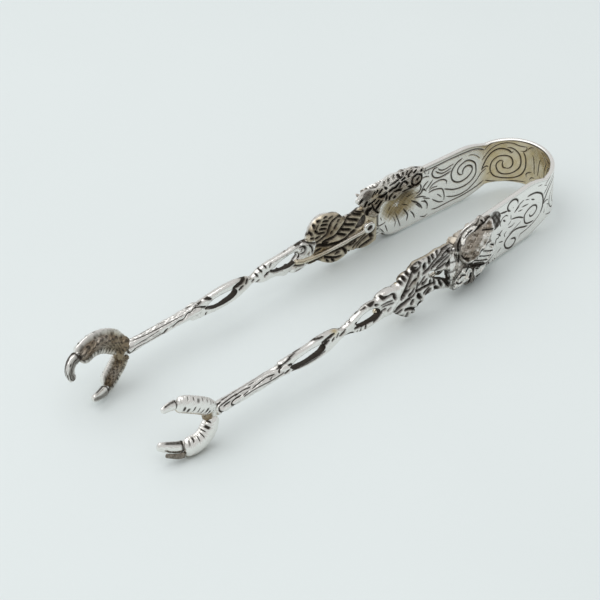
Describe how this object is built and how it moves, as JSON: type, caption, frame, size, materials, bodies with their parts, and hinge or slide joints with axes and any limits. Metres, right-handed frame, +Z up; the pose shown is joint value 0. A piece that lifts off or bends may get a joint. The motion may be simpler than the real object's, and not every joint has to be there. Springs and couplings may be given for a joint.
{
  "type": "sugar tongs",
  "caption": "Sprung silver tongs for lump sugar: an engraved strap bow with two cast arms of rose, leaves and entwined vine that end in gripping bird claws.",
  "frame": {"origin": "under the middle of the tongs, on the surface they lie on", "axes": "+X along the tongs towards the bow, +Y across from the near arm to the far arm, +Z up through the width of the strap"},
  "size_m": [0.1148, 0.0318, 0.0152],
  "materials": {
    "engraved_silver": "polished silver with darkened engraving",
    "cast_silver": "polished cast silver",
    "vine_silver": "polished cast silver with dark grooves",
    "leaf_silver": "cast silver, oxidised between the veins",
    "oxidised_rose": "cast silver with brown tarnish",
    "claw_silver": "cast silver, oxidised between the scales",
    "nail_silver": "polished silver"
  },
  "bodies": {
    "bow": {"bow_crown": "engraved_silver"},
    "near_arm": {"near_strap_leg": "engraved_silver", "near_rose": "oxidised_rose", "near_calyx": "cast_silver", "near_stalk": "cast_silver", "near_husk": "cast_silver", "near_vine_strand_a": "vine_silver", "near_vine_strand_b": "vine_silver", "near_ridged_stem": "vine_silver", "near_claw_palm": "claw_silver", "near_upper_toe": "claw_silver", "near_lower_toe": "claw_silver", "near_upper_nail": "nail_silver", "near_lower_nail": "nail_silver", "near_broad_leaf": "leaf_silver", "near_crest_leaf": "leaf_silver", "near_rose_leaf": "leaf_silver", "near_lower_leaf": "leaf_silver"},
    "far_arm": {"far_strap_leg": "engraved_silver", "far_rose": "oxidised_rose", "far_calyx": "cast_silver", "far_stalk": "cast_silver", "far_husk": "cast_silver", "far_vine_strand_a": "vine_silver", "far_vine_strand_b": "vine_silver", "far_ridged_stem": "vine_silver", "far_claw_palm": "claw_silver", "far_upper_toe": "claw_silver", "far_lower_toe": "claw_silver", "far_upper_nail": "nail_silver", "far_lower_nail": "nail_silver", "far_broad_leaf": "leaf_silver", "far_crest_leaf": "leaf_silver", "far_rose_leaf": "leaf_silver", "far_lower_leaf": "leaf_silver"}
  },
  "joints": [
    {"name": "far_arm_flex", "type": "hinge", "parent": "bow", "child": "far_arm", "pos_m": [0.05447, 0.00587, 0], "axis": [0, 0, 1], "range_deg": [-2, 4.5], "stiffness_Nm_per_rad": 1.7},
    {"name": "near_arm_flex", "type": "hinge", "parent": "bow", "child": "near_arm", "pos_m": [0.05447, -0.00587, 0], "axis": [0, 0, 1], "range_deg": [-4.5, 2], "stiffness_Nm_per_rad": 1.7}
  ],
  "couplings": [
    {"joint": "near_arm_flex", "follows": "far_arm_flex", "ratio": -1}
  ]
}
